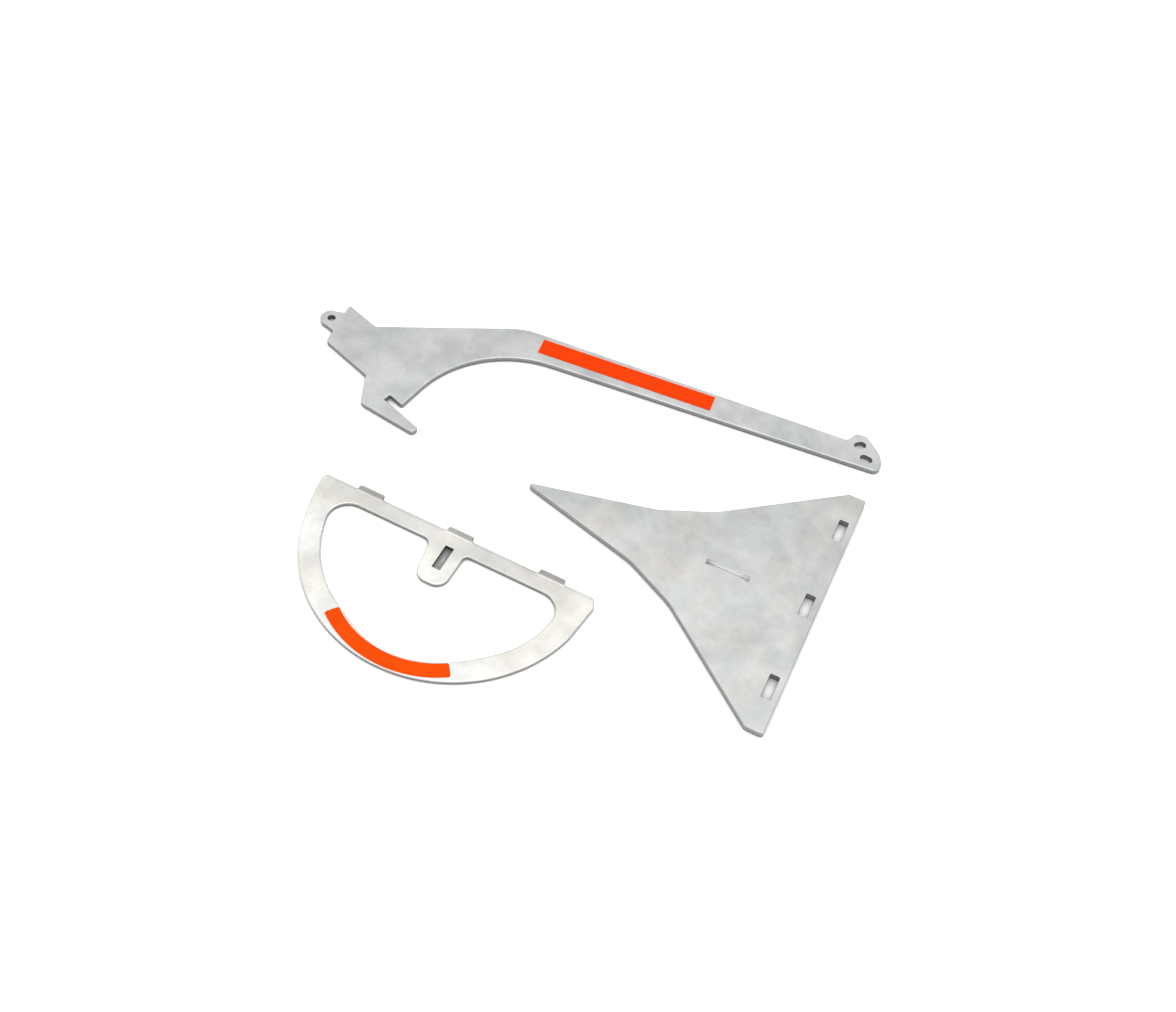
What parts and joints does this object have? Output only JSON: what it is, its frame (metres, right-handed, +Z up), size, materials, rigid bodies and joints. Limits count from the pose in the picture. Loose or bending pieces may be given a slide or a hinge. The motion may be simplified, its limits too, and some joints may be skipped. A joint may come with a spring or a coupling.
{
  "type": "knock-down fluke anchor",
  "caption": "Flat-pack fluke anchor laid out as loose aluminium plates: a slotted fluke, a D-shaped roll hoop with bent tabs and a hooked shank with coloured labels.",
  "frame": {"origin": "centre of the laid-out set's bounding box, on the surface the plates lie on", "axes": "+Z up, out of the plates; +X from the fluke's tip to its straight rear edge; +Y towards the shank, away from the hoop"},
  "size_m": [0.606, 0.4789, 0.0085],
  "materials": {
    "plate_aluminium": "tumbled satin, soft mottling",
    "hoop_aluminium": "tumbled satin, paler and slightly warmer",
    "label_orange": "plain printed vinyl"
  },
  "bodies": {
    "fluke": {"fluke_plate": "plate_aluminium"},
    "hoop": {"hoop_plate": "hoop_aluminium", "hoop_label": "label_orange"},
    "shank": {"shank_plate": "plate_aluminium", "shank_label": "label_orange"}
  },
  "joints": [
    {"name": "hoop_lift", "type": "hinge", "parent": "fluke", "child": "hoop", "pos_m": [-0.03774, -0.07233, 0.0015], "axis": [-0.9999, 0.0143, 0], "range_deg": [0, 113.8]},
    {"name": "shank_lift", "type": "hinge", "parent": "fluke", "child": "shank", "pos_m": [-0.2048, 0.01846, 0], "axis": [0.948, -0.3183, 0], "range_deg": [0, 90]}
  ]
}
